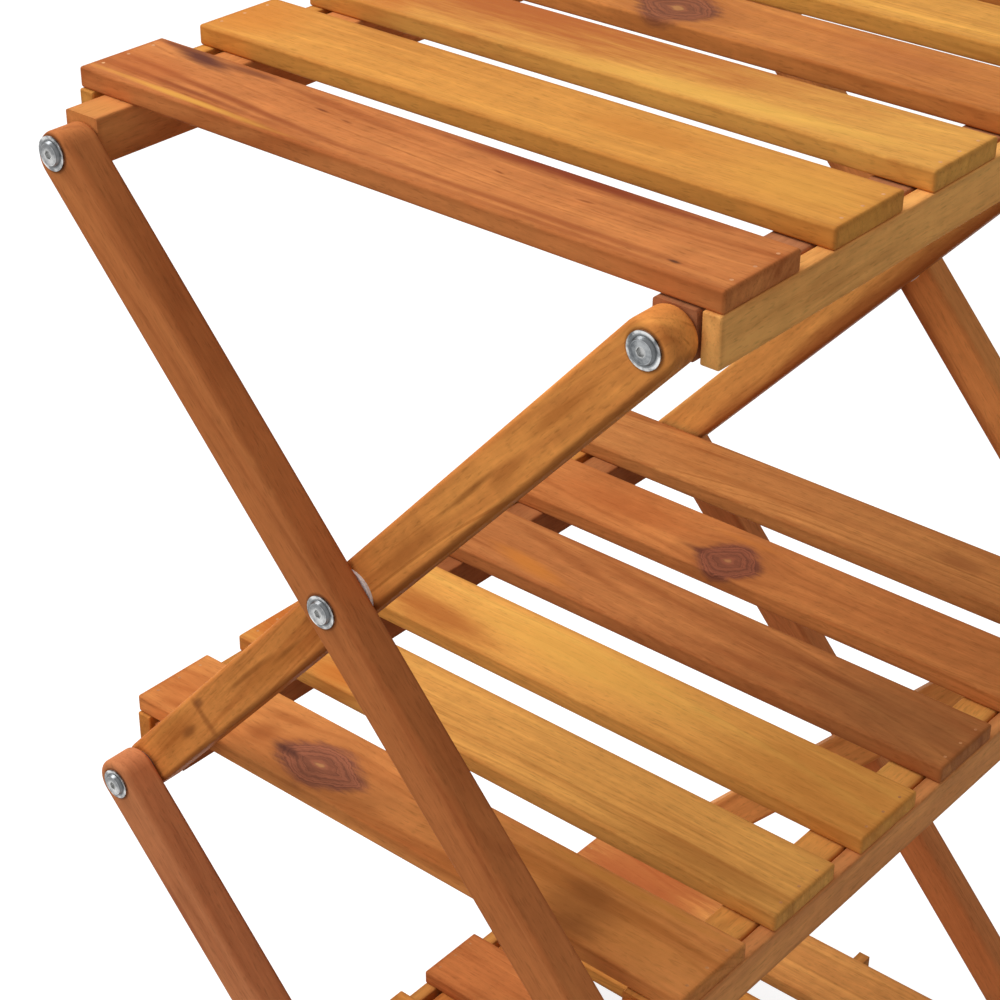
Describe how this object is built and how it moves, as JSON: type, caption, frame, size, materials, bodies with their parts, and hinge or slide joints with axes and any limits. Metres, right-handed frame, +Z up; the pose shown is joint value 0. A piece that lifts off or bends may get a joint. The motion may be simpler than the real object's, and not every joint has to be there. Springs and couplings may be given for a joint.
{
  "type": "folding shelf",
  "caption": "Three-tier folding shelf in oiled hardwood: slatted shelves on crossed front and rear legs joined by flanged bolts, with the shelves tilting up as the legs close.",
  "frame": {"origin": "on the floor, at the centre of the outline", "axes": "+X along the slats to the right, +Y from front to rear, +Z up"},
  "size_m": [0.4786, 0.5376, 0.8289],
  "materials": {
    "acacia_gold": "oiled, satin",
    "acacia_red": "oiled, satin",
    "acacia_dark": "oiled, satin",
    "acacia_brown": "oiled, satin",
    "acacia_tan": "oiled, satin",
    "steel": "bright zinc"
  },
  "bodies": {
    "base": {"bar_low_right": "acacia_brown", "bolts_low_right": "steel"},
    "legs_c": {"leg_c_front": "acacia_dark", "leg_c_rear": "acacia_dark", "bolts_lower_cross": "steel", "washers_lower_cross": "steel", "washers_mid_left": "steel"},
    "legs_d": {"leg_d_front": "acacia_dark", "leg_d_rear": "acacia_dark", "bar_mid_right": "acacia_brown", "bolts_mid_right": "steel", "washers_mid_right": "steel"},
    "legs_a": {"leg_a_front": "acacia_dark", "leg_a_rear": "acacia_dark", "bolts_upper_cross": "steel", "washers_upper_cross": "steel"},
    "legs_b": {"leg_b_front": "acacia_brown", "leg_b_rear": "acacia_brown", "bar_top_right": "acacia_brown", "bolts_top_right": "steel"},
    "shelf_top": {"slat_top_1": "acacia_red", "slat_top_2": "acacia_gold", "slat_top_3": "acacia_gold", "slat_top_4": "acacia_red", "slat_top_5": "acacia_gold", "slat_top_6": "acacia_red", "rail_top_left": "acacia_tan", "rail_top_right": "acacia_tan", "brads_top": "steel", "bar_top_left": "acacia_brown", "bolts_top_left": "steel"},
    "shelf_mid": {"slat_mid_1": "acacia_red", "slat_mid_2": "acacia_gold", "slat_mid_3": "acacia_gold", "slat_mid_4": "acacia_red", "slat_mid_5": "acacia_red", "slat_mid_6": "acacia_red", "rail_mid_left": "acacia_tan", "rail_mid_right": "acacia_tan", "brads_mid": "steel", "bar_mid_left": "acacia_brown", "bolts_mid_left": "steel"},
    "shelf_low": {"slat_low_1": "acacia_red", "slat_low_2": "acacia_gold", "slat_low_3": "acacia_red", "slat_low_4": "acacia_red", "slat_low_5": "acacia_gold", "slat_low_6": "acacia_red", "rail_low_left": "acacia_tan", "rail_low_right": "acacia_tan", "brads_low": "steel", "bar_low_left": "acacia_brown", "bolts_low_left": "steel", "stop_blocks": "acacia_tan"}
  },
  "joints": [
    {"name": "fold", "type": "hinge", "parent": "base", "child": "legs_c", "pos_m": [0.1657, 0, 0.062], "axis": [0, 1, 0], "range_deg": [0, 35.4]},
    {"name": "legs_d_turn", "type": "hinge", "parent": "legs_c", "child": "legs_d", "pos_m": [0, 0, 0.24759], "axis": [0, 1, 0], "range_deg": [-70.8, 0]},
    {"name": "legs_a_turn", "type": "hinge", "parent": "legs_d", "child": "legs_a", "pos_m": [0.1657, 0, 0.43319], "axis": [0, 1, 0], "range_deg": [0, 70.8]},
    {"name": "legs_b_turn", "type": "hinge", "parent": "legs_c", "child": "legs_b", "pos_m": [-0.1657, 0, 0.43319], "axis": [0, 1, 0], "range_deg": [-70.8, 0]},
    {"name": "shelf_low_turn", "type": "hinge", "parent": "legs_d", "child": "shelf_low", "pos_m": [-0.1657, 0, 0.062], "axis": [0, 1, 0], "range_deg": [-38.94, 0]},
    {"name": "shelf_mid_turn", "type": "hinge", "parent": "legs_c", "child": "shelf_mid", "pos_m": [-0.1657, 0, 0.43319], "axis": [0, 1, 0], "range_deg": [-109.74, 0]},
    {"name": "shelf_top_turn", "type": "hinge", "parent": "legs_a", "child": "shelf_top", "pos_m": [-0.1657, 0, 0.80437], "axis": [0, 1, 0], "range_deg": [-109.74, 0]}
  ],
  "couplings": [
    {"joint": "legs_d_turn", "follows": "fold", "ratio": -2},
    {"joint": "legs_a_turn", "follows": "fold", "ratio": 2},
    {"joint": "legs_b_turn", "follows": "fold", "ratio": -2},
    {"joint": "shelf_low_turn", "follows": "fold", "ratio": -1.1},
    {"joint": "shelf_mid_turn", "follows": "fold", "ratio": -3.1},
    {"joint": "shelf_top_turn", "follows": "fold", "ratio": -3.1}
  ]
}
